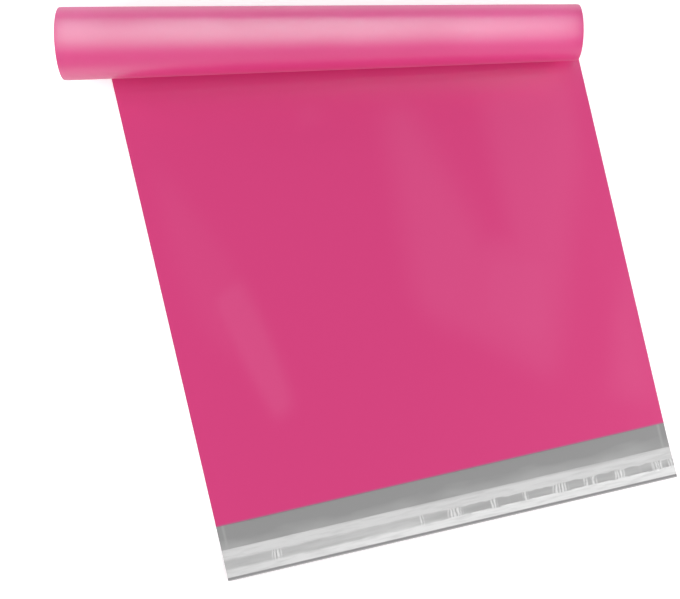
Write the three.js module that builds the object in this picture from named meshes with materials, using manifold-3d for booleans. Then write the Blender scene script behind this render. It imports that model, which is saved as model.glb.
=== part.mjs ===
// A poly mailer bag, lying flat with its closed end rolled up.
//
// The bag is one length of plastic film, folded across at the closed end and welded along both
// sides. The back wall runs past the mouth as a lip, and the lip carries a strip of adhesive under
// a peel-off release liner. The closed end is rolled up over the front wall, a little askew and
// with a slight taper, so the roll is a spiral cone. The film is drawn out along it so that the
// roll ends square, flush with the bag's right side and past its left side.
//
// Frame: +X across the bag, +Y from the mouth to the closed end, +Z up out of the front wall.
// The origin is on the underside, at the middle of the mouth.

import * as THREE from "three";
import { mergeVertices } from "three/addons/utils/BufferGeometryUtils.js";
import Module from "manifold-3d";

const wasm = await Module();
wasm.setup();

// Film and bag, in millimetres
const bagWidth = 305;
const bodyLength = 457;
const filmThickness = 0.25;
const pocketGap = 0.3;
const weldWidth = 3;

// Lip, in millimetres, from the mouth outwards: bare film, then the liner, which runs past the
// adhesive on both sides, then the bare edge
const bareLip = 16;
const linerInnerMargin = 7.5;
const adhesiveWidth = 4.8;
const linerOuterMargin = 6;
const lipEdge = 2.2;
const adhesiveThickness = 0.25;
const linerThickness = 0.25;

// Roll: lengths in millimetres and angles in degrees, taken on the centreline of the bag
const flatLength = 292.5;
const rollRadius = 21.1;
const rollTaper = 0.96;
const rollSkew = 11.6;
const turnGap = 0.8;
// How far the roll's square ends stand past half the bag's width, along the roll, and the angle
// of turn over which the film's edges come square
const leftOverhang = 26;
const rightOverhang = 1;
const squaringAngle = 90;

// How finely curves are drawn: the angle of each facet of the roll, in degrees, and the sides of
// the half circle at the bag's end fold
const facetAngle = 10;
const foldSides = 6;
// How far a cutting shape runs past the film that it cuts
const cutOverrun = 1;

const wallsThickness = 2 * filmThickness + pocketGap;
const linerWidth = linerInnerMargin + adhesiveWidth + linerOuterMargin;
const lipLength = bareLip + linerWidth + lipEdge;

const film = new THREE.MeshStandardMaterial({ color: 0xd74580, roughness: 0.38, metalness: 0 });
const adhesive = new THREE.MeshStandardMaterial({ color: 0x8f8f92, roughness: 0.25, metalness: 0 });
const liner = new THREE.MeshStandardMaterial({
  color: 0xd6d7d8,
  roughness: 0.2,
  metalness: 0,
  transparent: true,
  opacity: 0.7,
});

// The side view of a length of film, from y = start to a round fold at y = end, as a shape in the
// plane of Y and Z. It is drawn clockwise, seen from the left side of the bag.
function foldedProfile(start, end, bottom, top) {
  const radius = (top - bottom) / 2;
  const shape = new THREE.Shape();
  shape.moveTo(start, bottom);
  shape.lineTo(end - radius, bottom);
  shape.absarc(end - radius, bottom + radius, radius, -Math.PI / 2, Math.PI / 2, false);
  shape.lineTo(start, top);
  return shape;
}

// A profile in the plane of Y and Z, swept across the bag and centred on it
function acrossBag(shape, width) {
  const geometry = new THREE.ExtrudeGeometry(shape, {
    depth: width,
    bevelEnabled: false,
    curveSegments: foldSides,
  });
  geometry.translate(0, 0, -width / 2);
  return geometry.applyMatrix4(
    new THREE.Matrix4().makeBasis(
      new THREE.Vector3(0, 1, 0),
      new THREE.Vector3(0, 0, 1),
      new THREE.Vector3(1, 0, 0),
    ),
  );
}

function solidOf(geometry) {
  geometry.deleteAttribute("normal");
  geometry.deleteAttribute("uv");
  const merged = mergeVertices(geometry);
  return new wasm.Manifold(
    new wasm.Mesh({
      numProp: 3,
      vertProperties: merged.attributes.position.array,
      triVerts: new Uint32Array(merged.index.array),
    }),
  );
}

// A solid's triangles, each as three points
function trianglesOf(solid) {
  const { vertProperties, triVerts } = solid.getMesh();
  const points = [];
  for (let i = 0; i < vertProperties.length; i += 3) {
    points.push(new THREE.Vector3().fromArray(vertProperties, i));
  }
  const triangles = [];
  for (let i = 0; i < triVerts.length; i += 3) {
    triangles.push([points[triVerts[i]], points[triVerts[i + 1]], points[triVerts[i + 2]]]);
  }
  return triangles;
}

// Convex faces, each as a list of corners, drawn as fans of triangles
function geometryOf(faces) {
  const points = faces.flatMap((face) =>
    face.slice(2).flatMap((corner, i) => [face[0], face[i + 1], corner]),
  );
  return new THREE.BufferGeometry().setFromPoints(points);
}

// The bag before it is rolled: both walls, the fold between them, the side welds and the lip
function flatBag() {
  const walls = solidOf(acrossBag(foldedProfile(0, bodyLength, 0, wallsThickness), bagWidth));
  const lip = new THREE.BoxGeometry(bagWidth, lipLength + cutOverrun, filmThickness);
  lip.translate(0, (cutOverrun - lipLength) / 2, filmThickness / 2);
  const pocket = solidOf(
    acrossBag(
      foldedProfile(
        -cutOverrun,
        bodyLength - filmThickness,
        filmThickness,
        filmThickness + pocketGap,
      ),
      bagWidth - 2 * weldWidth,
    ),
  );
  return walls.add(solidOf(lip)).subtract(pocket);
}

// The first of two perpendicular unit vectors, turned towards the second by an angle in radians
function turned(from, towards, angle) {
  return from.clone().multiplyScalar(Math.cos(angle)).addScaledVector(towards, Math.sin(angle));
}

// The roll. Its straight lines all pass through an apex on the ground, out past the right side,
// and it winds up round an axis that rises from that apex.
const taper = THREE.MathUtils.degToRad(rollTaper);
const skew = THREE.MathUtils.degToRad(rollSkew);
const facet = THREE.MathUtils.degToRad(facetAngle);
const up = new THREE.Vector3(0, 0, 1);
const alongRoll = new THREE.Vector3(-Math.cos(skew), Math.sin(skew), 0);
const awayFromMouth = new THREE.Vector3(Math.sin(skew), Math.cos(skew), 0);
const apexDistance = rollRadius / Math.sin(taper);
const apex = new THREE.Vector3(0, flatLength, 0).addScaledVector(alongRoll, -apexDistance);
const rollAxis = turned(alongRoll, up, taper);
const rollDown = turned(alongRoll, up, taper - Math.PI / 2);
const squaringTurn = THREE.MathUtils.degToRad(squaringAngle);

// How much the roll's half-angle shrinks for each radian of turn, so that turns clear each other
const turnPitch = wallsThickness + turnGap;
const windingIn = turnPitch / (2 * Math.PI * apexDistance);

// The angle round the apex, in the flat film, of what ends up at a given turn of the roll
function sheetAngle(turn) {
  return taper * turn - (windingIn * turn ** 2) / 2;
}

function turnAt(angle) {
  return (taper - Math.sqrt(taper ** 2 - 2 * windingIn * angle)) / windingIn;
}

function apexAngle(point) {
  const arm = point.clone().sub(apex);
  return Math.atan2(arm.dot(awayFromMouth), arm.dot(alongRoll));
}

// How far from the apex a point lies once it is rolled up: as far as in the flat film where the
// roll starts, easing over to a roll with square ends
function reachAt(point, turn) {
  const flatReach = Math.hypot(point.x - apex.x, point.y - apex.y);
  const side = bagWidth / 2;
  const alongSquare = THREE.MathUtils.mapLinear(
    point.x,
    -side,
    side,
    side + leftOverhang,
    -side - rightOverhang,
  );
  const squared = THREE.MathUtils.smoothstep(turn, 0, squaringTurn);
  return THREE.MathUtils.lerp(flatReach, apexDistance + alongSquare, squared);
}

// Where a point of the flat bag goes once the closed end is rolled up
function rolled(point) {
  const angle = apexAngle(point);
  if (angle <= 0) return point.clone();
  const turn = turnAt(angle);
  const halfAngle = taper - windingIn * turn;
  const outward = turned(rollDown, awayFromMouth, turn);
  const ray = turned(rollAxis, outward, halfAngle);
  const inward = turned(rollAxis, outward, halfAngle - Math.PI / 2);
  const reach = reachAt(point, turn);
  return apex.clone().addScaledVector(ray, reach).addScaledVector(inward, point.z);
}

// One side of a flat face, cut where the distances of its corners from a plane change sign
function keptSide(face, distances, sign) {
  return face.flatMap((point, i) => {
    const j = (i + 1) % face.length;
    const kept = sign * distances[i] >= 0 ? [point] : [];
    if (distances[i] * distances[j] >= 0) return kept;
    const share = distances[i] / (distances[i] - distances[j]);
    return [...kept, point.clone().lerp(face[j], share)];
  });
}

// Faces cut in two wherever they cross the upright plane through the apex at this angle
function cutAlong(faces, angle) {
  const across = turned(alongRoll, awayFromMouth, angle + Math.PI / 2);
  const plane = new THREE.Plane().setFromNormalAndCoplanarPoint(across, apex);
  return faces.flatMap((face) => {
    const distances = face.map((point) => plane.distanceToPoint(point));
    if (Math.min(...distances) * Math.max(...distances) >= 0) return [face];
    return [keptSide(face, distances, 1), keptSide(face, distances, -1)];
  });
}

function rolledBag() {
  let faces = trianglesOf(flatBag());
  const farCorner = new THREE.Vector3(bagWidth / 2, bodyLength, 0);
  const turns = turnAt(apexAngle(farCorner));
  for (let turn = 0; turn < turns; turn += facet) {
    faces = cutAlong(faces, sheetAngle(turn));
  }
  return geometryOf(faces.map((face) => face.map(rolled)));
}

// A strip laid across the lip, its inner edge at a distance from the mouth
function lipStrip(distance, width, bottom, thickness) {
  const strip = new THREE.BoxGeometry(bagWidth, width, thickness);
  strip.translate(0, -distance - width / 2, bottom + thickness / 2);
  return strip;
}

function named(name, geometry, material) {
  const mesh = new THREE.Mesh(geometry, material);
  mesh.name = name;
  return mesh;
}

const mailer = new THREE.Group();
mailer.add(
  named("bag", rolledBag(), film),
  named(
    "adhesive_strip",
    lipStrip(bareLip + linerInnerMargin, adhesiveWidth, filmThickness, adhesiveThickness),
    adhesive,
  ),
  named(
    "release_liner",
    lipStrip(bareLip, linerWidth, filmThickness + adhesiveThickness, linerThickness),
    liner,
  ),
);

export default mailer;
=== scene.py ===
"""A pink film mailing bag that lies flat, with its closed end rolled up over its front."""

import math
from typing import NamedTuple

import bmesh
import bpy
from bpy.props import FloatProperty, FloatVectorProperty, IntProperty, PointerProperty
from mathutils import Matrix, Vector, noise


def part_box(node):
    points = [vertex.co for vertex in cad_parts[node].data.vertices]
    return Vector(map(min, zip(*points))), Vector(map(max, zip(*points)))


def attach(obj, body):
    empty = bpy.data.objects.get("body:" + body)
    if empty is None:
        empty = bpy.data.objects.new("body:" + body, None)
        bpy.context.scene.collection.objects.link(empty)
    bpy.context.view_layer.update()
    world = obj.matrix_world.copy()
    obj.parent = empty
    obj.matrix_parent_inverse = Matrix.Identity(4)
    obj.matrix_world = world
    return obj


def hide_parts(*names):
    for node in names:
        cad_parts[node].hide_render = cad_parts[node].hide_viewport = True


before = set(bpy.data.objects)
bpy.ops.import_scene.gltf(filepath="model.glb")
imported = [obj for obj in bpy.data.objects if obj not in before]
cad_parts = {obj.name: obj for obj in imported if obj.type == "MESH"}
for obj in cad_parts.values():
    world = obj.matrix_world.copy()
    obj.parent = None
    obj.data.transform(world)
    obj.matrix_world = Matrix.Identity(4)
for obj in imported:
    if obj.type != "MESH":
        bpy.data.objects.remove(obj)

bl_info = {
    "name": "Film Mailing Bag",
    "version": (1, 0, 0),
    "blender": (4, 5, 0),
    "location": "3D View > Sidebar > Mailer",
    "description": "Builds a rolled-up film mailing bag and the stage that it lies on",
    "category": "Add Mesh",
}

MM = 0.001
UP = Vector((0, 0, 1))
FRONT = Vector((0, -1, 0))
RIGHT = Vector((1, 0, 0))

# The places that the frame gives
BAG_LOW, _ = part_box("bag")
LINER_LOW, LINER_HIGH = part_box("release_liner")
ADHESIVE_LOW, ADHESIVE_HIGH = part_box("adhesive_strip")
LINER_MIDDLE = (LINER_LOW.y + LINER_HIGH.y) / 2
ADHESIVE_MIDDLE = (ADHESIVE_LOW.y + ADHESIVE_HIGH.y) / 2


def length(name, description, default):
    """A length property, in metres."""
    return FloatProperty(
        name=name, description=description, default=default, unit="LENGTH", precision=5
    )


def angle(name, description, default):
    """An angle property, whose default is given in degrees."""
    return FloatProperty(
        name=name, description=description, default=math.radians(default), subtype="ANGLE"
    )


def number(name, description, default):
    """A property that is a plain number."""
    return FloatProperty(name=name, description=description, default=default)


def count(name, description, default):
    """A property that counts something."""
    return IntProperty(name=name, description=description, default=default)


def colour(name, description, default):
    """A colour property, with the three linear values of its default."""
    return FloatVectorProperty(
        name=name, description=description, default=default, subtype="COLOR", min=0, max=1
    )


class FilmSizes(bpy.types.PropertyGroup):
    """Sizes of the bag's film and of its roll"""

    width: length("Width", "Width of the bag across its side welds", 2 * LINER_HIGH.x)
    body: length("Body length", "Length of each wall, from the mouth to the closed end", 0.457)
    lip: length("Lip length", "How far the back wall runs past the mouth", -BAG_LOW.y)
    thickness: length("Film thickness", "Thickness of the film", 0.12 * MM)
    walls: length("Walls' height", "Height of the front wall over the table", 0.6 * MM)
    weld: length("Weld width", "Width of each side weld", 3.5 * MM)
    lip_curl: length("Lip curl", "How far the lip's free edge rises off the table", 2.2 * MM)
    flat: length("Flat length", "Length that lies flat, on the centreline", 0.2925)
    roll_radius: length("Roll radius", "Outer radius of the roll, on the centreline", 0.0211)
    roll_taper: angle("Roll taper", "Half-angle of the cone that the roll follows", 0.96)
    roll_skew: angle("Roll skew", "How far the roll leans from square to the bag", 11.6)
    left_overhang: length("Left overhang", "Roll past the bag's half width at the left", 0.026)
    right_overhang: length("Right overhang", "Roll past the bag's half width at the right", 0.001)
    squaring_turn: angle("Squaring turn", "Turn over which the film's edges come square", 90)
    turn_pitch: length("Turn pitch", "Distance between the roll's turns", 1.6 * MM)
    columns: count("Columns", "Faces across the bag", 72)
    flat_rows: count("Flat rows", "Faces along the flat part", 64)
    roll_rows: count("Roll rows", "Faces along the rolled part", 120)
    lip_rows: count("Lip rows", "Faces along the lip", 14)


class LipSizes(bpy.types.PropertyGroup):
    """Sizes of the adhesive and the release liner"""

    bead_height: length("Bead height", "Height of the adhesive on the film", 0.22 * MM)
    bead_skin: length("Bead skin", "Thickness of the skin that draws the adhesive", 0.03 * MM)
    bead_columns: count("Bead columns", "Faces across the bag in the adhesive", 300)
    bead_rows: count("Bead rows", "Faces along the bag in the adhesive", 10)
    liner_thickness: length("Liner thickness", "Thickness of the release liner", 0.04 * MM)
    liner_lift: length("Liner lift", "Gap under the liner where it hangs free", 0.1 * MM)
    liner_columns: count("Liner columns", "Faces across the bag in the liner", 640)
    liner_rows: count("Liner rows", "Faces along the bag in the liner", 72)
    fold_height: length("Fold height", "Height of the folds beside the adhesive", 0.64 * MM)
    fold_run: length("Fold run", "Width of the long side of those folds", 1.4 * MM)
    tick_height: length("Wrinkle height", "Height of the short wrinkles over the adhesive", 0.35 * MM)
    tick_spacing: length("Wrinkle spacing", "Distance between the short wrinkles", 2.1 * MM)


class BagColours(bpy.types.PropertyGroup):
    """Colours of the bag's materials and of the floor"""

    outside: colour("Outside", "Pink outside of the film", (0.725, 0.03, 0.206))
    # A paler pink painted over the front wall's swells: a painted sheen
    painted_sheen_pink: colour("Outside, hazy", "Pink of the film where it is a little hazy", (0.748, 0.054, 0.236))
    edge: colour("Cut edge", "Pale mauve of the film's cut edges", (0.52, 0.10, 0.24))
    inside: colour("Inside", "Grey inside of the film", (0.295, 0.295, 0.295))
    # Paler grey of the weld streaks, and of the lip's painted sheen towards the liner
    weld_and_sheen_grey: colour("Inside, pale", "Grey of the lip beside the liner", (0.41, 0.41, 0.41))
    # A painted shade line along the lip's free edge
    hem_shade: colour("Hem line", "Darker line along the lip's free edge", (0.28, 0.275, 0.28))
    hem_pale: colour("Hem, outer", "Paler grey outside that line", (0.52, 0.52, 0.52))
    adhesive: colour("Adhesive", "Grey of the adhesive", (0.25, 0.25, 0.25))
    liner: colour("Liner", "Cloudy white of the release liner", (0.83, 0.83, 0.83))
    liner_pale: colour("Liner, outer", "Paler white of its outer margin", (0.97, 0.97, 0.97))
    # Also painted in the valleys between the short wrinkles, as their shade
    liner_stuck: colour("Liner, stuck", "Greyer where it sticks down", (0.5, 0.5, 0.5))
    # White painted highlight along the liner's folds and short wrinkles
    liner_highlight: colour("Liner, creased", "White along its creases", (1.0, 1.0, 1.0))
    floor: colour("Floor", "Pale floor", (0.9, 0.9, 0.9))


class StageSettings(bpy.types.PropertyGroup):
    """The camera and the light"""

    camera_height: length("Camera height", "Height of the camera over the table", 0.7385)
    camera_x: length("Camera X", "Place of the camera across the bag", -0.0381)
    camera_y: length("Camera Y", "Place of the camera along the bag", 0.1285)
    camera_turn: angle("Camera turn", "How far the picture is turned on the bag", -13.13)
    lens: length("Lens", "Focal length for a sensor 36 mm wide", 58.9 * MM)
    sky: number("Sky", "Radiance of the surrounding light", 0.19)
    front_light: number("Front light", "Radiance of the soft box beyond the lip", 1.0)
    back_light: number("Back light", "Radiance of the soft box beyond the roll", 0.55)
    side_light: number("Side light", "Radiance of the soft box at each side", 3.6)
    roll_light: number("Roll light", "Radiance of the arch of strip lamps", 12.0)
    lip_light: number("Lip light", "Radiance of the strip lamp in front of the lip", 7.5)
    arch_length: length("Arch length", "Length of the strip lamps", 0.385)
    arch_shift: length("Arch shift", "How far left their middle is of the bag's centreline", 0.0385)
    arch_low: number("Arch low", "Share of light in its lowest lamps", 0.06)
    arch_ends: number("Arch ends", "How much brighter the strip lamps' ends are", 0.65)
    arch_slope: number("Arch slope", "How much brighter the lamps are to the left", 0.12)
    arch_radius: length("Arch radius", "Distance of the strip lamps from the roll's axis", 0.13)
    arch_start: angle("Arch start", "First strip lamp, off vertical", -80)
    arch_step: angle("Arch step", "From one strip lamp to the next", 12)
    arch_count: count("Strip lamps", "Strip lamps in the arch", 12)
    arch_twist: angle("Arch twist", "How far its ends are turned about the roll's axis", 7)
    arch_parts: count("Lamp parts", "Parts of each strip lamp", 5)
    arch_tint: colour("Arch tint", "Cool tint of the strip lamps", (0.43, 1.0, 0.82))
    arch_spread: angle("Arch spread", "How widely each strip lamp shines", 16)


class Swell(NamedTuple):
    """A soft swell of the front wall with a painted sheen: its corners, anticlockwise from above,
    the width of its soft edge, how strong its painted sheen is and its height"""

    corners: tuple
    softness: float
    painted_sheen: float
    height: float


class Grain(NamedTuple):
    """Smooth noise over the bag: its grains in a metre across and along the bag, its layer and
    where it starts along the bag"""

    across: float
    along: float
    layer: float
    start: float = 0.0

    def at(self, x, y):
        """The noise at a place on the bag, from about -1 to 1."""
        return noise.noise(Vector((x * self.across, y * self.along + self.start, self.layer)))


class SoftBox(NamedTuple):
    """A soft box: how far it leans off vertical, its distance, and its size across and up"""

    lean: float
    distance: float
    size: tuple


# Soft swells of the front wall: each is a real rise of the wall, with a painted sheen of paler pink
# over it
SWELLS = (
    Swell(
        corners=(
            (-0.122, 0.148), (-0.110, 0.095), (-0.098, 0.060),
            (-0.084, 0.066), (-0.086, 0.105), (-0.100, 0.158),
        ),
        softness=0.016,
        painted_sheen=1.1,
        height=0.5 * MM,
    ),
    Swell(
        corners=(
            (-0.142, 0.200), (-0.130, 0.120), (-0.108, 0.100),
            (-0.098, 0.160), (-0.112, 0.200), (-0.135, 0.240),
        ),
        softness=0.022,
        painted_sheen=0.4,
        height=0.3 * MM,
    ),
    Swell(
        corners=((0.017, 0.245), (0.010, 0.110), (0.035, 0.088), (0.066, 0.138), (0.036, 0.245)),
        softness=0.028,
        painted_sheen=0.8,
        height=0.3 * MM,
    ),
    Swell(
        corners=(
            (0.012, 0.108), (0.045, 0.076), (0.086, 0.042), (0.100, 0.060),
            (0.113, 0.135), (0.080, 0.148), (0.020, 0.150),
        ),
        softness=0.030,
        painted_sheen=0.75,
        height=0.4 * MM,
    ),
    Swell(
        corners=((0.045, 0.095), (0.082, 0.058), (0.100, 0.075), (0.108, 0.130), (0.060, 0.140)),
        softness=0.030,
        painted_sheen=1.0,
        height=0.5 * MM,
    ),
    Swell(
        corners=(
            (0.084, 0.240), (0.078, 0.150), (0.084, 0.060),
            (0.096, 0.060), (0.144, 0.205), (0.140, 0.240),
        ),
        softness=0.026,
        painted_sheen=0.8,
        height=0.4 * MM,
    ),
    Swell(
        corners=((0.120, 0.024), (0.150, 0.016), (0.154, 0.110), (0.140, 0.090)),
        softness=0.020,
        painted_sheen=0.6,
        height=0.1 * MM,
    ),
    Swell(
        corners=((-0.038, 0.246), (-0.022, 0.246), (-0.024, 0.259), (-0.036, 0.259)),
        softness=0.010,
        painted_sheen=0.35,
        height=0.1 * MM,
    ),
)

# How much wider the swells' soft edges are in the shape of the wall than in its painted sheen
SWELL_WIDENING = 2
# The slight unevenness of the front wall between them
RIPPLE = Grain(across=9, along=6, layer=0.3)
RIPPLE_HEIGHT = 0.25 * MM
# How far before the roll the swells start to die out
SWELL_RUN_OUT = 0.04

# The side welds' height, in thicknesses of film, and what is counted in widths of the weld from the
# bag's side: the cuts that keep the weld crisp, how long the walls take to part beyond it, and
# where the swells reach their full height
WELD_HEIGHT = 2.4
WELD_CUTS = (0.4, 1.0, 2.0, 3.0)
PARTING_RUN = 6
SWELLING_RUN = 10
# Points this near the bag's side are on its edge, and points this near each other are joined
SIDE_MARGIN = 0.1 * MM
JOINING_GAP = 0.001 * MM
# Edges that turn by more than this stay crisp
CRISP_ANGLE = math.radians(40)

# Clusters of short wrinkles in the liner, as distances across the bag: the middle and half-width
WRINKLE_CLUSTERS = (
    (-0.117, 0.0045),
    (-0.0185, 0.0018),
    (0.004, 0.0065),
    (0.0305, 0.003),
    (0.052, 0.0022),
    (0.0755, 0.0065),
    (0.093, 0.0018),
    (0.0985, 0.0025),
    (0.116, 0.005),
    (0.1415, 0.0045),
    (0.1505, 0.002),
)
# How early a cluster comes to its full strength: at 1 only in its middle
CLUSTER_FULLNESS = 1.5
# The wrinkles' slant, as a shift across the bag for each length along it, how far they stray from
# even spacing, in radians, and how narrow they are
TICK_SLANT = 0.1
TICK_STRAY = 3.4
TICK_GRAIN = Grain(across=330, along=160, layer=2.0)
TICK_NARROWNESS = 3
# How far the wrinkles reach either side of the adhesive's middle, and how squarely they end
TICK_REACH = 3.4 * MM
TICK_SQUARENESS = 4
# The wrinkles' painted white highlights and painted grey shade between them: their strength, and where
# they end and fade
TICK_MARK = 0.9
TICK_MARK_REACH = 2.8 * MM
TICK_MARK_FADE = 1.4 * MM

# Stretches where the liner folds up beside the adhesive: each one's start and end across the bag
SLACK_STRETCHES = (
    (0.014, 0.025),
    (0.034, 0.048),
    (0.0555, 0.0695),
    (0.082, 0.091),
    (0.099, 0.1085),
    (0.122, 0.1355),
    (0.139, 0.142),
    (0.146, 0.150),
)
# The folds' crest and the middle of their painted white highlight, out from the adhesive, and where
# that highlight ends and fades
FOLD_CREST = 0.5 * MM
FOLD_MARK = 1.0 * MM
FOLD_MARK_REACH = 0.9 * MM
FOLD_MARK_FADE = 0.5 * MM

# How far beside the adhesive the liner comes down, and how it sags
DRAPE_RUN = 0.8 * MM
SAG_HEIGHT = 0.06 * MM
SAG_GRAIN = Grain(across=25, along=120, layer=4.0)

# Where across the bag the stuck part of the liner goes over from faint and soft, on the left, to
# crisp, on the right. Each pair after that holds a value for the left and one for the right: how
# firmly it sticks, how far that fades beside the adhesive, how ragged its edge is, and how much
# firmer its rim is.
CRISP_STRETCH = (-30 * MM, 20 * MM)
STUCK_STRENGTH = (0.6, 0.82)
STUCK_FADE = (2.0 * MM, 0.9 * MM)
STUCK_RAGGEDNESS = (0.3 * MM, 0.9 * MM)
RIM_STRENGTH = (0.0, 0.25)
RAGGED_GRAIN = Grain(across=170, along=0, layer=0.4, start=5.3)
# How far inside the adhesive's inner edge it starts to stick, how uneven that is, and how much less
# the liner sticks in a cluster of wrinkles
STUCK_INSET = 0.6 * MM
STUCK_UNEVENNESS = 0.35
STUCK_GRAIN = Grain(across=35, along=300, layer=9.4)
CLUSTER_LOOSENING = 0.85
# How much of the adhesive's height is missing in a cluster of wrinkles
CLUSTER_MISSING = 0.9

# Bands over which one shade goes over into the next. These are places along the bag:
CUT_EDGE_BAND = (0.1 * MM, 1.3 * MM)
# The lip's painted sheen, paler towards the liner
LIP_SHEEN_BAND = (-9 * MM, -18 * MM)
HEM_OUTER_BAND = (-35.5 * MM, -36 * MM)
LINER_INNER_BAND = (-13 * MM, -17.5 * MM)
LINER_MARGINS_BAND = (-22 * MM, -29 * MM)
# These are places across it:
LINER_OUTER_BAND = (-160 * MM, -60 * MM)
# These are distances from the middle of a line, which is given first:
# The painted shade line along the lip's free edge
HEM_SHADE_LINE = -35.2 * MM
HEM_SHADE_BAND = (0.3 * MM, 1.0 * MM)
WELD_LINE = 148.3 * MM
WELD_BAND = (-0.8 * MM, 1.3 * MM)
# These are values of a noise, and a share from none to all:
STREAK_BAND = (0.45, 1.3)
SHARE_BAND = (0.0, 1.0)
# How far the clouds move the lip's painted sheen band and the liner's inner band to and fro, from end
# to end
LIP_CLOUDS = -16 * MM
LINER_CLOUDS = 6 * MM

# The floor: its half-width, how far it lies under the bag, and its glow for the camera alone
FLOOR_SIZE = 6
FLOOR_DROP = 0.05 * MM
FLOOR_GLOW = 0.35
# The camera's sensor, in millimetres
SENSOR_WIDTH = 36
# Watts of a wide area lamp for each square metre and each unit of its radiance
LAMP_POWER = 4
# The soft boxes beyond the lip and beyond the roll, and those at the sides
END_BOX = SoftBox(lean=math.radians(70), distance=1.2, size=(1.6, 0.6))
SIDE_BOX = SoftBox(lean=math.radians(62), distance=1.3, size=(1.2, 0.9))
# The strip lamp in front of the lip: the place across the bag that it is turned to, how far it
# leans to the front and to the right, its distance, its size and how widely it shines
LIP_LAMP_X = 70 * MM
LIP_LAMP_LEAN = math.radians(60)
LIP_LAMP_SIDEWAYS = math.radians(8)
LIP_LAMP_DISTANCE = 0.45
LIP_LAMP_SIZE = (0.5, 0.08)
LIP_LAMP_SPREAD = math.radians(11)
# Leans at which the arch's strip lamps are still at their dimmest and already at their brightest
ARCH_DIM_LEAN = math.radians(-60)
ARCH_BRIGHT_LEAN = math.radians(20)


def eased(value):
    """A smooth step from 0 to 1 as value goes from 0 to 1."""
    value = min(max(value, 0.0), 1.0)
    return value * value * (3 - 2 * value)


def blended(ends, share):
    """A value from the first to the second of two ends as a share goes from 0 to 1."""
    start, end = ends
    return start + (end - start) * share


def mark_share(distance, reach, fade):
    """1 on a mark, easing to 0 over a fade that ends at the mark's reach."""
    return eased((reach - distance) / fade)


def turned(start, towards, turn):
    """The first of two perpendicular unit vectors, turned towards the second."""
    return start * math.cos(turn) + towards * math.sin(turn)


class Roll:
    """The cone that the closed end winds up on. Its straight lines all meet at an apex on the table,
    out past the bag's right side."""

    def __init__(self, film):
        self.taper = film.roll_taper
        self.along = Vector((-math.cos(film.roll_skew), math.sin(film.roll_skew), 0))
        self.away = Vector((math.sin(film.roll_skew), math.cos(film.roll_skew), 0))
        self.middle_reach = film.roll_radius / math.sin(self.taper)
        self.width = film.width
        self.left_end = film.width / 2 + film.left_overhang
        self.right_end = film.width / 2 + film.right_overhang
        self.squaring_turn = film.squaring_turn
        self.apex = Vector((0, film.flat, 0)) - self.middle_reach * self.along
        self.winding_in = film.turn_pitch / (2 * math.pi * self.middle_reach)
        self.axis = turned(self.along, UP, self.taper)
        self.down = turned(self.along, UP, self.taper - math.pi / 2)

    def reach_at(self, x, flat_reach, turn):
        """How far from the apex a point lies once it is rolled up: as far as in the flat film where
        the roll starts, easing over to a roll with square ends."""
        share = 0.5 - x / self.width
        square_reach = self.middle_reach - self.right_end + share * (self.left_end + self.right_end)
        squared = eased(turn / self.squaring_turn)
        return blended((flat_reach, square_reach), squared)

    def place(self, point):
        """Where a point of the flat bag goes once the closed end is rolled up."""
        arm = Vector((point.x, point.y, 0)) - self.apex
        sheet_angle = math.atan2(arm.dot(self.away), arm.dot(self.along))
        if sheet_angle <= 0:
            return point.copy()
        half_angle = math.sqrt(self.taper**2 - 2 * self.winding_in * sheet_angle)
        turn = (self.taper - half_angle) / self.winding_in
        outward = turned(self.down, self.away, turn)
        ray = turned(self.axis, outward, half_angle)
        inward = turned(self.axis, outward, half_angle - math.pi / 2)
        reach = self.reach_at(point.x, arm.length, turn)
        return self.apex + ray * reach + inward * point.z

    def flatness(self, x, y, run):
        """1 on the flat part, easing to 0 over a run that ends where the roll starts."""
        arm = Vector((x, y, 0)) - self.apex
        return eased(-arm.dot(self.away) / run)


def inside_share(point, corners, softness):
    """1 well inside a convex outline, easing to 0 past its edges."""
    share = 1.0
    for start, end in zip(corners, corners[1:] + corners[:1]):
        edge = Vector(end) - Vector(start)
        depth = edge.normalized().cross(point - Vector(start))
        share *= eased(depth / softness + 0.5)
    return share


def painted_sheen(x, y):
    """How strong the painted sheen of the front wall is, from 0 to about 1."""
    point = Vector((x, y))
    return max(inside_share(point, swell.corners, swell.softness) * swell.painted_sheen for swell in SWELLS)


def swell_height(x, y):
    """Height of the front wall's soft swells over its level surface."""
    point = Vector((x, y))
    highest = max(
        inside_share(point, swell.corners, SWELL_WIDENING * swell.softness) * swell.height
        for swell in SWELLS
    )
    return highest + RIPPLE.at(x, y) * RIPPLE_HEIGHT


def lip_rise(film, y):
    """How far the lip has curled up off the table at a distance y along the bag."""
    share = min(max(-y / film.lip, 0.0), 1.0)
    return film.lip_curl * share**2


def spaced(start, end, steps):
    """Evenly spaced values from start towards end, without the end itself."""
    return [start + (end - start) * i / steps for i in range(steps)]


def film_rows(film):
    """Distances along the film of each row of points, from the front wall's edge at the mouth,
    round the closed end and back along the back wall to the lip's free edge."""
    roll_start = film.flat - film.width / 2 * math.tan(film.roll_skew)
    front = spaced(0, roll_start, film.flat_rows)
    front += spaced(roll_start, film.body, film.roll_rows)
    back = [2 * film.body - row for row in reversed(front)]
    lip = spaced(2 * film.body, 2 * film.body + film.lip, film.lip_rows)[1:]
    return front + [film.body] + back + lip + [2 * film.body + film.lip]


def weld_height(film):
    """Height of the side welds over the table."""
    return WELD_HEIGHT * film.thickness


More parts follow.
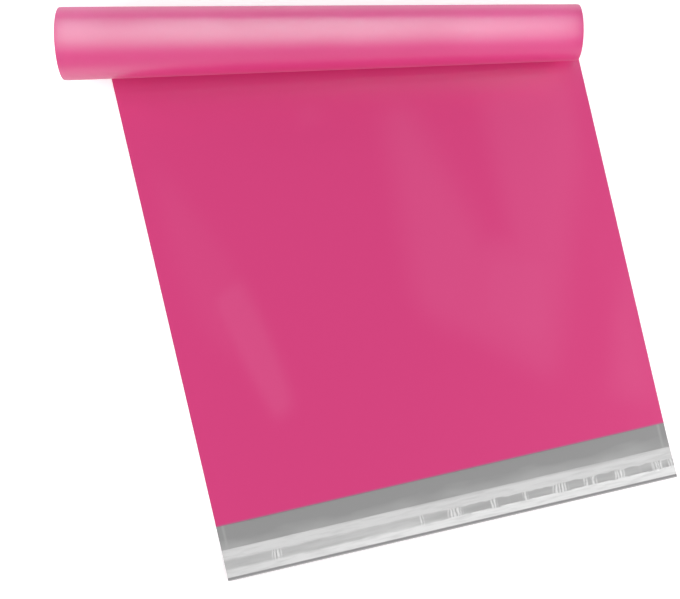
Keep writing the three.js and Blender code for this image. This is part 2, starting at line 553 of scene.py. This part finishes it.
def front_height(film, roll, x, y):
    """Height of the front wall's outer face, from the side welds up to the middle of the pocket."""
    side_distance = film.width / 2 - abs(x)
    parted = eased((side_distance - film.weld) / (PARTING_RUN * film.weld))
    level = blended((weld_height(film), film.walls), parted)
    swelling = eased(side_distance / (SWELLING_RUN * film.weld)) * roll.flatness(x, y, SWELL_RUN_OUT)
    return level + swell_height(x, y) * swelling


def film_point(film, roll, x, along):
    """Where a point of the film's outer face lies once it is folded, welded and rolled."""
    if along < film.body:
        y = along
        height = front_height(film, roll, x, y)
    elif along > film.body:
        y = 2 * film.body - along
        height = 0.0
    else:
        y = film.body
        height = film.walls / 2
    on_side = abs(x) > film.width / 2 - SIDE_MARGIN
    if on_side and y > 0:
        height = weld_height(film) / 2
    return roll.place(Vector((x, y, height + lip_rise(film, y))))


def cut_across(bm, x):
    """Cuts a flat grid along the bag at a distance x from its centreline."""
    geometry = bm.verts[:] + bm.edges[:] + bm.faces[:]
    bmesh.ops.bisect_plane(bm, geom=geometry, plane_co=(x, 0, 0), plane_no=RIGHT)


def film_mesh(film):
    """The film as one sheet: a grid, folded at the closed end, joined at the side welds and rolled."""
    rows = film_rows(film)
    row_count = len(rows) - 1
    bm = bmesh.new()
    bmesh.ops.create_grid(bm, x_segments=film.columns, y_segments=row_count, size=0.5)
    bmesh.ops.scale(bm, vec=(film.width, row_count, 1), verts=bm.verts)
    for widths in WELD_CUTS:
        for side in (-1, 1):
            cut_across(bm, side * (film.width / 2 - widths * film.weld))
    roll = Roll(film)
    # A painted sheen: how much paler pink each point of the front wall takes
    painted_sheen_layer = bm.verts.layers.float.new("painted_sheen")
    for vert in bm.verts:
        along = rows[round(vert.co.y + row_count / 2)]
        if along < film.flat:
            vert[painted_sheen_layer] = painted_sheen(vert.co.x, along)
        vert.co = film_point(film, roll, vert.co.x, along)
    bmesh.ops.remove_doubles(bm, verts=bm.verts, dist=JOINING_GAP)
    return bm


def finished_piece(name, bm, materials, node, thickness, inner=0, rim=0):
    """A piece from a bmesh of its outer face, with its thickness added inwards, smooth faces and
    crisp edges. Its inner face and its rim take the materials at these places of the list."""
    mesh = bpy.data.meshes.new(name)
    bm.to_mesh(mesh)
    bm.free()
    piece = bpy.data.objects.new(name, mesh)
    bpy.context.collection.objects.link(piece)
    for material in materials:
        mesh.materials.append(material)
    wall = piece.modifiers.new("Wall", "SOLIDIFY")
    wall.thickness = thickness
    wall.offset = -1
    wall.material_offset = inner
    wall.material_offset_rim = rim
    evaluated = piece.evaluated_get(bpy.context.evaluated_depsgraph_get())
    solid = bpy.data.meshes.new_from_object(evaluated)
    piece.modifiers.clear()
    piece.data = solid
    solid.name = name
    bpy.data.meshes.remove(mesh)
    solid.shade_smooth()
    solid.set_sharp_from_angle(angle=CRISP_ANGLE)
    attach(piece, "root")
    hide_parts(node)
    return piece


def principled(name, base, roughness):
    """A material with a Principled shader of one base colour and roughness."""
    material = bpy.data.materials.new(name)
    material.use_nodes = True
    shader = material.node_tree.nodes["Principled BSDF"]
    shader.inputs["Base Color"].default_value = (*base, 1)
    shader.inputs["Roughness"].default_value = roughness
    return material, shader


def add_node(material, kind, inputs=None, **settings):
    """A new node of a material, with its settings and its inputs' values."""
    node = material.node_tree.nodes.new(kind)
    for key, value in settings.items():
        setattr(node, key, value)
    for key, value in (inputs or {}).items():
        node.inputs[key].default_value = value
    return node


def link(material, start, end):
    """Joins one node's output to another's input."""
    material.node_tree.links.new(start, end)


def object_noise(material, place, scale, detail, stretch):
    """Noise over the object's own coordinates, which are first scaled along X and Y."""
    mapping = add_node(material, "ShaderNodeMapping", {"Scale": (*stretch, 1.0)})
    texture = add_node(material, "ShaderNodeTexNoise", {"Scale": scale, "Detail": detail})
    link(material, place.outputs["Object"], mapping.inputs["Vector"])
    link(material, mapping.outputs["Vector"], texture.inputs["Vector"])
    return texture.outputs["Fac"]


def film_bump(material, shader, scale, depth):
    """Fine unevenness of blown film, drawn out along the bag. It returns the node that gives the
    object's coordinates."""
    place = add_node(material, "ShaderNodeTexCoord")
    grain = object_noise(material, place, scale=scale, detail=3.0, stretch=(1.0, 0.35))
    bump = add_node(material, "ShaderNodeBump", {"Strength": 1.0, "Distance": depth})
    link(material, grain, bump.inputs["Height"])
    link(material, bump.outputs["Normal"], shader.inputs["Normal"])
    return place


def attribute_share(material, name):
    """A share from 0 to 1 that the mesh holds for each of its points."""
    return add_node(material, "ShaderNodeAttribute", attribute_name=name).outputs["Fac"]


def shade_between(material, value, band, start, end):
    """A colour that goes from start to end as a value goes through a band. Each of the two is a
    plain colour or another node's output."""
    low, high = band
    scale = add_node(material, "ShaderNodeMapRange", {"From Min": low, "From Max": high})
    mix = add_node(material, "ShaderNodeMix", data_type="RGBA")
    link(material, value, scale.inputs["Value"])
    link(material, scale.outputs["Result"], mix.inputs["Factor"])
    for shade, name in ((start, "A"), (end, "B")):
        socket = next(s for s in mix.inputs if s.name == name and s.type == "RGBA")
        if isinstance(shade, bpy.types.NodeSocket):
            link(material, shade, socket)
        else:
            socket.default_value = (*shade, 1)
    return next(s for s in mix.outputs if s.type == "RGBA")


def object_axes(material, place):
    """The object's coordinates as separate X, Y and Z."""
    axes = add_node(material, "ShaderNodeSeparateXYZ")
    link(material, place.outputs["Object"], axes.inputs["Vector"])
    return axes


def distance_from(material, value, middle):
    """How far a value is from a middle, either way."""
    offset = add_node(material, "ShaderNodeMath", {1: middle}, operation="SUBTRACT")
    size = add_node(material, "ShaderNodeMath", operation="ABSOLUTE")
    link(material, value, offset.inputs[0])
    link(material, offset.outputs["Value"], size.inputs[0])
    return size.outputs["Value"]


def clouded_y(material, place, axes, scale, stretch, swing):
    """The place along the bag, moved to and fro by soft clouds that swing it by so much in all."""
    cloud = object_noise(material, place, scale=scale, detail=2.0, stretch=stretch)
    shift = add_node(
        material, "ShaderNodeMath", {1: swing, 2: -swing / 2}, operation="MULTIPLY_ADD"
    )
    moved = add_node(material, "ShaderNodeMath", operation="ADD")
    link(material, cloud, shift.inputs[0])
    link(material, axes.outputs["Y"], moved.inputs[0])
    link(material, shift.outputs["Value"], moved.inputs[1])
    return moved.outputs["Value"]


def outside_finish(colours):
    """Satin pink film with a painted sheen, paler pink in places, and mauve along its cut edge at the
    mouth.
    """
    material, shader = principled("pink_film", colours.outside, roughness=0.4)
    shader.inputs["IOR"].default_value = 1.8
    shader.inputs["Specular IOR Level"].default_value = 1.0
    shader.inputs["Sheen Weight"].default_value = 0.1
    shader.inputs["Sheen Roughness"].default_value = 0.4
    place = film_bump(material, shader, scale=260.0, depth=0.004 * MM)
    axes = object_axes(material, place)
    # Paler pink over the swells, as a painted sheen
    painted_sheen_pink = attribute_share(material, "painted_sheen")
    film = shade_between(material, painted_sheen_pink, SHARE_BAND, colours.outside, colours.painted_sheen_pink)
    tint = shade_between(material, axes.outputs["Y"], CUT_EDGE_BAND, colours.edge, film)
    link(material, tint, shader.inputs["Base Color"])
    return material


def inside_finish(colours):
    """The smooth grey inside of the film, cloudy, with a painted sheen that pales it towards the
    liner, a pale streak beside each weld and a painted shade line along the lip's free edge."""
    material, shader = principled("grey_film", colours.inside, roughness=0.4)
    place = film_bump(material, shader, scale=240.0, depth=0.004 * MM)
    axes = object_axes(material, place)
    y = axes.outputs["Y"]
    clouded = clouded_y(material, place, axes, scale=22.0, stretch=(1.0, 3.5), swing=LIP_CLOUDS)
    # Paler towards the liner: a painted sheen
    grey = shade_between(material, clouded, LIP_SHEEN_BAND, colours.inside, colours.weld_and_sheen_grey)
    side = distance_from(material, axes.outputs["X"], 0.0)
    weld = distance_from(material, side, WELD_LINE)
    welded = shade_between(material, weld, WELD_BAND, colours.weld_and_sheen_grey, grey)
    outer = shade_between(material, y, HEM_OUTER_BAND, welded, colours.hem_pale)
    # A painted shade line along the lip's free edge
    hem_shade = distance_from(material, y, HEM_SHADE_LINE)
    tint = shade_between(material, hem_shade, HEM_SHADE_BAND, colours.hem_shade, outer)
    link(material, tint, shader.inputs["Base Color"])
    return material


def edge_finish(colours):
    """The pale cut edge of the film."""
    material, _ = principled("cut_edge", colours.edge, roughness=0.5)
    return material


def adhesive_finish(colours):
    """Clear grey hot-melt adhesive, a little uneven."""
    material, shader = principled("adhesive", colours.adhesive, roughness=0.25)
    film_bump(material, shader, scale=500.0, depth=0.02 * MM)
    return material


def liner_finish(colours):
    """Cloudy, glossy peel-off film, greyer where it sticks to the adhesive and towards its inner
    edge, with fine streaks, painted shade between wrinkles and painted highlights on folds and
    wrinkles."""
    material, shader = principled("liner_film", colours.liner, roughness=0.15)
    shader.inputs["Alpha"].default_value = 0.75
    shader.inputs["IOR"].default_value = 1.5
    shader.inputs["Specular IOR Level"].default_value = 0.75
    place = film_bump(material, shader, scale=300.0, depth=0.008 * MM)
    axes = object_axes(material, place)
    x, y = axes.outputs["X"], axes.outputs["Y"]
    clouded = clouded_y(material, place, axes, scale=14.0, stretch=(1.0, 1.0), swing=LINER_CLOUDS)
    inner = shade_between(material, clouded, LINER_INNER_BAND, colours.liner_stuck, colours.liner)
    outer = shade_between(material, x, LINER_OUTER_BAND, colours.liner, colours.liner_pale)
    margins = shade_between(material, y, LINER_MARGINS_BAND, inner, outer)
    streaks = object_noise(material, place, scale=520.0, detail=2.0, stretch=(0.12, 1.0))
    loose = shade_between(material, streaks, STREAK_BAND, margins, colours.liner_stuck)
    # Grey where the liner sticks down, and painted shade between the wrinkles
    stuck_and_shade = attribute_share(material, "stuck_and_shade")
    held = shade_between(material, stuck_and_shade, SHARE_BAND, loose, colours.liner_stuck)
    # Painted white highlights on the folds and wrinkles
    painted_highlight = attribute_share(material, "painted_highlight")
    tint = shade_between(material, painted_highlight, SHARE_BAND, held, colours.liner_highlight)
    link(material, tint, shader.inputs["Base Color"])
    return material


def floor_finish(colours):
    """A pale floor that the camera sees as near white, shadows and all."""
    material, shader = principled("floor", colours.floor, roughness=0.9)
    shader.inputs["Specular IOR Level"].default_value = 0.0
    shader.inputs["Emission Color"].default_value = (1, 1, 1, 1)
    seen = add_node(material, "ShaderNodeLightPath")
    glow = add_node(material, "ShaderNodeMath", {1: FLOOR_GLOW}, operation="MULTIPLY")
    link(material, seen.outputs["Is Camera Ray"], glow.inputs[0])
    link(material, glow.outputs["Value"], shader.inputs["Emission Strength"])
    return material


def cluster_share(x):
    """1 in the middle of a cluster of wrinkles, easing to 0 at its ends."""
    nearness = (1 - abs(x - middle) / half for middle, half in WRINKLE_CLUSTERS)
    return eased(CLUSTER_FULLNESS * max(nearness))


def slack_share(x):
    """1 in the middle of each stretch where the liner folds up, easing to 0 at its ends."""
    rises = (math.sin(math.pi * (x - a) / (b - a)) for a, b in SLACK_STRETCHES if a < x < b)
    return math.sqrt(max(rises, default=0.0))


def wrinkle_wave(lip, x, y):
    """The run of the short wrinkles, from 0 between them to 1 on each."""
    even = 2 * math.pi * (x - TICK_SLANT * y) / lip.tick_spacing
    wave = 0.5 + 0.5 * math.cos(even + TICK_STRAY * TICK_GRAIN.at(x, y))
    return wave**TICK_NARROWNESS


def stuck_and_shade_share(lip, x, y):
    """How firmly the liner sticks down, from 0 beside the adhesive to 1 on it, with a firmer rim,
    and loosely in each cluster of wrinkles, plus a painted shade in the valleys between them."""
    start, end = CRISP_STRETCH
    crisp = eased((x - start) / (end - start))
    ragged = blended(STUCK_RAGGEDNESS, crisp) * RAGGED_GRAIN.at(x, y)
    past = max(ADHESIVE_LOW.y - y, y - ADHESIVE_HIGH.y + STUCK_INSET, 0.0)
    on_adhesive = eased(1 - (past + ragged) / blended(STUCK_FADE, crisp))
    rim = 4 * on_adhesive * (1 - on_adhesive)
    uneven = 1 + STUCK_UNEVENNESS * STUCK_GRAIN.at(x, y)
    strength = blended(STUCK_STRENGTH, crisp) * uneven * on_adhesive
    strength += blended(RIM_STRENGTH, crisp) * rim
    cluster = cluster_share(x)
    # Painted shade in the valleys between the wrinkles
    valleys = wrinkle_wave(lip, x + lip.tick_spacing / 2, y)
    valley_shade = TICK_MARK * cluster * on_adhesive * valleys
    return min(strength * (1 - CLUSTER_LOOSENING * cluster) + valley_shade, 1.0)


def painted_highlight_share(lip, x, y):
    """How much painted white highlight the liner takes, from 0 to 1 along the folds beside the
    adhesive and on each short wrinkle."""
    from_fold = abs(y - ADHESIVE_LOW.y + FOLD_MARK)
    fold = mark_share(from_fold, FOLD_MARK_REACH, FOLD_MARK_FADE) * slack_share(x)
    across = mark_share(abs(y - ADHESIVE_MIDDLE), TICK_MARK_REACH, TICK_MARK_FADE)
    tick = TICK_MARK * cluster_share(x) * across * wrinkle_wave(lip, x, y)
    return min(max(fold, tick), 1.0)


def liner_height(lip, x, y):
    """Height of the liner's upper face over the lip's film: over the adhesive, down beside it, and
    up again in folds, with short wrinkles across the adhesive."""
    past = max(ADHESIVE_LOW.y - y, y - ADHESIVE_HIGH.y, 0.0)
    bead = lip.bead_height * mark_share(past, DRAPE_RUN, DRAPE_RUN)
    crest = ADHESIVE_LOW.y - FOLD_CREST
    run = lip.fold_run if y < crest else lip.fold_run / 2
    fold = lip.fold_height * max(1 - abs(y - crest) / run, 0.0) * slack_share(x)
    across = math.exp(-(((y - ADHESIVE_MIDDLE) / TICK_REACH) ** TICK_SQUARENESS))
    tick = lip.tick_height * cluster_share(x) * across * wrinkle_wave(lip, x, y)
    sag = SAG_HEIGHT * SAG_GRAIN.at(x, y)
    return lip.liner_thickness + lip.liner_lift + bead + fold + tick + sag


def adhesive_height(lip, x, y):
    """Height of the adhesive over the lip's film: a rounded bead, nearly gone in each cluster of
    wrinkles."""
    half = (ADHESIVE_HIGH.y - ADHESIVE_LOW.y) / 2
    crown = math.sqrt(max(1 - ((y - ADHESIVE_MIDDLE) / half) ** 2, 0.0))
    return lip.bead_height * crown * (1 - CLUSTER_MISSING * cluster_share(x))


def lip_strip(film, lip, edges, grid, height):
    """A grid across the lip from one edge to the other, raised by height(lip, x, y) over the film."""
    low, high = edges
    columns, rows = grid
    bm = bmesh.new()
    bmesh.ops.create_grid(bm, x_segments=columns, y_segments=rows, size=0.5)
    bmesh.ops.scale(bm, vec=(film.width, high - low, 1), verts=bm.verts)
    bmesh.ops.translate(bm, vec=(0, (low + high) / 2, 0), verts=bm.verts)
    for vert in bm.verts:
        x, y = vert.co.x, vert.co.y
        vert.co.z = film.thickness + lip_rise(film, y) + height(lip, x, y)
    return bm


class MAILER_OT_bag(bpy.types.Operator):
    """Build the bag: one sheet of film, folded, welded and rolled"""

    bl_idname = "mailer.bag"
    bl_label = "Bag"

    def execute(self, context):
        film, colours = context.scene.mailer_film, context.scene.mailer_colours
        materials = [outside_finish(colours), inside_finish(colours), edge_finish(colours)]
        piece = finished_piece(
            "film_bag", film_mesh(film), materials, "bag", film.thickness, inner=1, rim=2
        )
        return {"FINISHED"}


class MAILER_OT_adhesive(bpy.types.Operator):
    """Build the band of adhesive on the lip"""

    bl_idname = "mailer.adhesive"
    bl_label = "Adhesive"

    def execute(self, context):
        film, lip = context.scene.mailer_film, context.scene.mailer_lip
        edges = (ADHESIVE_LOW.y, ADHESIVE_HIGH.y)
        bm = lip_strip(film, lip, edges, (lip.bead_columns, lip.bead_rows), adhesive_height)
        material = adhesive_finish(context.scene.mailer_colours)
        finished_piece("adhesive_band", bm, [material], "adhesive_strip", lip.bead_skin)
        return {"FINISHED"}


class MAILER_OT_liner(bpy.types.Operator):
    """Build the wrinkled release liner over the adhesive"""

    bl_idname = "mailer.liner"
    bl_label = "Release liner"

    def execute(self, context):
        film, lip = context.scene.mailer_film, context.scene.mailer_lip
        low, high = LINER_LOW.y, LINER_HIGH.y
        bm = lip_strip(film, lip, (low, high), (lip.liner_columns, lip.liner_rows), liner_height)
        # Grey where it sticks down, with painted shade between the wrinkles
        stuck_and_shade_layer = bm.verts.layers.float.new("stuck_and_shade")
        # Painted white highlights on the folds and wrinkles
        painted_highlight_layer = bm.verts.layers.float.new("painted_highlight")
        for vert in bm.verts:
            vert[stuck_and_shade_layer] = stuck_and_shade_share(lip, vert.co.x, vert.co.y)
            vert[painted_highlight_layer] = painted_highlight_share(lip, vert.co.x, vert.co.y)
        material = liner_finish(context.scene.mailer_colours)
        piece = finished_piece(
            "liner_strip", bm, [material], "release_liner", lip.liner_thickness
        )
        return {"FINISHED"}


def lay_floor(colours):
    """The floor, a hair under the bag."""
    bm = bmesh.new()
    bmesh.ops.create_grid(bm, x_segments=1, y_segments=1, size=FLOOR_SIZE)
    bmesh.ops.translate(bm, vec=-FLOOR_DROP * UP, verts=bm.verts)
    mesh = bpy.data.meshes.new("floor")
    bm.to_mesh(mesh)
    bm.free()
    mesh.materials.append(floor_finish(colours))
    floor = bpy.data.objects.new("floor", mesh)
    bpy.context.collection.objects.link(floor)


def set_camera(stage):
    """The camera, looking straight down, with its picture turned on the bag."""
    data = bpy.data.cameras.new("camera")
    data.sensor_width = SENSOR_WIDTH
    data.lens = stage.lens / MM
    camera = bpy.data.objects.new("camera", data)
    camera.location = (stage.camera_x, stage.camera_y, stage.camera_height)
    camera.rotation_euler = (0, 0, stage.camera_turn)
    bpy.context.collection.objects.link(camera)
    bpy.context.scene.camera = camera


def area_lamp(name, centre, facing, long_axis, size, radiance, spread=math.pi, tint=(1, 1, 1)):
    """A rectangular lamp with its first side along an axis and its face turned to a direction. Its
    radiance is what it shines straight ahead, also where its spread is narrow."""
    data = bpy.data.lights.new(name, "AREA")
    data.shape = "RECTANGLE"
    data.size, data.size_y = size
    data.spread = spread
    data.color = tint
    narrowing = 1 - spread / 2 / math.tan(spread / 2)
    data.energy = radiance * narrowing * LAMP_POWER * size[0] * size[1]
    lamp = bpy.data.objects.new(name, data)
    back = -facing.normalized()
    side = (long_axis - long_axis.dot(back) * back).normalized()
    axes = Matrix((side, back.cross(side), back)).transposed()
    lamp.matrix_world = Matrix.Translation(centre) @ axes.to_4x4()
    lamp.visible_camera = False
    bpy.context.collection.objects.link(lamp)
    return lamp


def soft_box(stage, name, towards, form, radiance):
    """A soft box at one side of the picture, turned to its middle and not seen in the gloss."""
    turn = Matrix.Rotation(stage.camera_turn, 3, "Z")
    aim = Vector((stage.camera_x, stage.camera_y, 0))
    outward = turn @ turned(UP, towards, form.lean)
    long_axis = turn @ towards.cross(UP)
    centre = aim + outward * form.distance
    box = area_lamp(name, centre, -outward, long_axis, form.size, radiance)
    box.visible_glossy = False


def lip_lamp(stage):
    """The narrow strip lamp that the liner's folds and wrinkles mirror to the camera."""
    aim = Vector((LIP_LAMP_X, LINER_MIDDLE, 0))
    outward = turned(turned(UP, FRONT, LIP_LAMP_LEAN), RIGHT, LIP_LAMP_SIDEWAYS)
    centre = aim + outward * LIP_LAMP_DISTANCE
    area_lamp(
        "lip_lamp", centre, -outward, RIGHT, LIP_LAMP_SIZE, stage.lip_light, LIP_LAMP_SPREAD
    )


def arch_of_lamps(stage, film):
    """Strip lamps in an arch over the roll, each turned to it and lighting little else. They are
    brightest over the roll's far side and towards its ends, where the camera sees them askance."""
    roll = Roll(film)
    middle = roll.apex + roll.axis * film.roll_radius / math.tan(roll.taper)
    away = roll.axis.cross(UP).normalized()
    away *= math.copysign(1, away.dot(roll.away))
    upward = away.cross(roll.axis)
    upward *= math.copysign(1, upward.z)
    part_length = stage.arch_length / stage.arch_parts
    width = stage.arch_radius * stage.arch_step
    for i in range(stage.arch_count):
        lean = stage.arch_start + i * stage.arch_step
        brightness = eased((lean - ARCH_DIM_LEAN) / (ARCH_BRIGHT_LEAN - ARCH_DIM_LEAN))
        brightness = max(brightness, stage.arch_low)
        lit_side = turned(upward, away, lean) * film.roll_radius
        for k in range(stage.arch_parts):
            offset = (k + 0.5) * part_length - stage.arch_length / 2
            end_share = 2 * offset / stage.arch_length
            ends = 1 + stage.arch_slope * end_share + stage.arch_ends * end_share**2
            outward = turned(upward, away, lean + stage.arch_twist * end_share)
            facing = lit_side - outward * stage.arch_radius if lean < 0 else -outward
            area_lamp(
                f"strip_lamp_{i + 1}_{k + 1}",
                middle + outward * stage.arch_radius + roll.axis * (stage.arch_shift + offset),
                facing,
                roll.axis,
                (part_length, width),
                stage.roll_light * brightness * ends,
                stage.arch_spread,
                stage.arch_tint,
            )


def set_surround(stage):
    """The even white light from all around, and the plain view of the colours."""
    world = bpy.data.worlds.new("surround")
    world.use_nodes = True
    background = world.node_tree.nodes["Background"]
    background.inputs["Color"].default_value = (1, 1, 1, 1)
    background.inputs["Strength"].default_value = stage.sky
    bpy.context.scene.world = world
    bpy.context.scene.view_settings.view_transform = "Standard"


class MAILER_OT_stage(bpy.types.Operator):
    """Lay the floor and set up the camera and the light"""

    bl_idname = "mailer.stage"
    bl_label = "Stage"

    def execute(self, context):
        stage = context.scene.mailer_stage
        lay_floor(context.scene.mailer_colours)
        set_camera(stage)
        soft_box(stage, "front_box", FRONT, END_BOX, stage.front_light)
        soft_box(stage, "back_box", -FRONT, END_BOX, stage.back_light)
        soft_box(stage, "left_box", -RIGHT, SIDE_BOX, stage.side_light)
        soft_box(stage, "right_box", RIGHT, SIDE_BOX, stage.side_light)
        lip_lamp(stage)
        arch_of_lamps(stage, context.scene.mailer_film)
        set_surround(stage)
        return {"FINISHED"}


class MAILER_PT_panel(bpy.types.Panel):
    """The bag's pieces and their settings"""

    bl_label = "Mailing bag"
    bl_idname = "MAILER_PT_panel"
    bl_space_type = "VIEW_3D"
    bl_region_type = "UI"
    bl_category = "Mailer"

    def draw(self, context):
        for operator in PIECES:
            self.layout.operator(operator.bl_idname)
        for name in GROUPS:
            settings = getattr(context.scene, name)
            box = self.layout.box()
            for key in settings.__annotations__:
                box.prop(settings, key)


PIECES = (MAILER_OT_bag, MAILER_OT_adhesive, MAILER_OT_liner, MAILER_OT_stage)
GROUPS = {
    "mailer_film": FilmSizes,
    "mailer_lip": LipSizes,
    "mailer_colours": BagColours,
    "mailer_stage": StageSettings,
}


def register():
    """Adds the settings, the operators and the panel to Blender."""
    for group in (*GROUPS.values(), *PIECES, MAILER_PT_panel):
        bpy.utils.register_class(group)
    for name, group in GROUPS.items():
        setattr(bpy.types.Scene, name, PointerProperty(type=group))


def unregister():
    """Takes them away again."""
    for name in GROUPS:
        delattr(bpy.types.Scene, name)
    for group in reversed((*GROUPS.values(), *PIECES, MAILER_PT_panel)):
        bpy.utils.unregister_class(group)


def main():
    """Builds every piece and the stage."""
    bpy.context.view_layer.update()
    register()
    bpy.ops.mailer.bag()
    bpy.ops.mailer.adhesive()
    bpy.ops.mailer.liner()
    bpy.ops.mailer.stage()


if __name__ == "__main__":
    main()
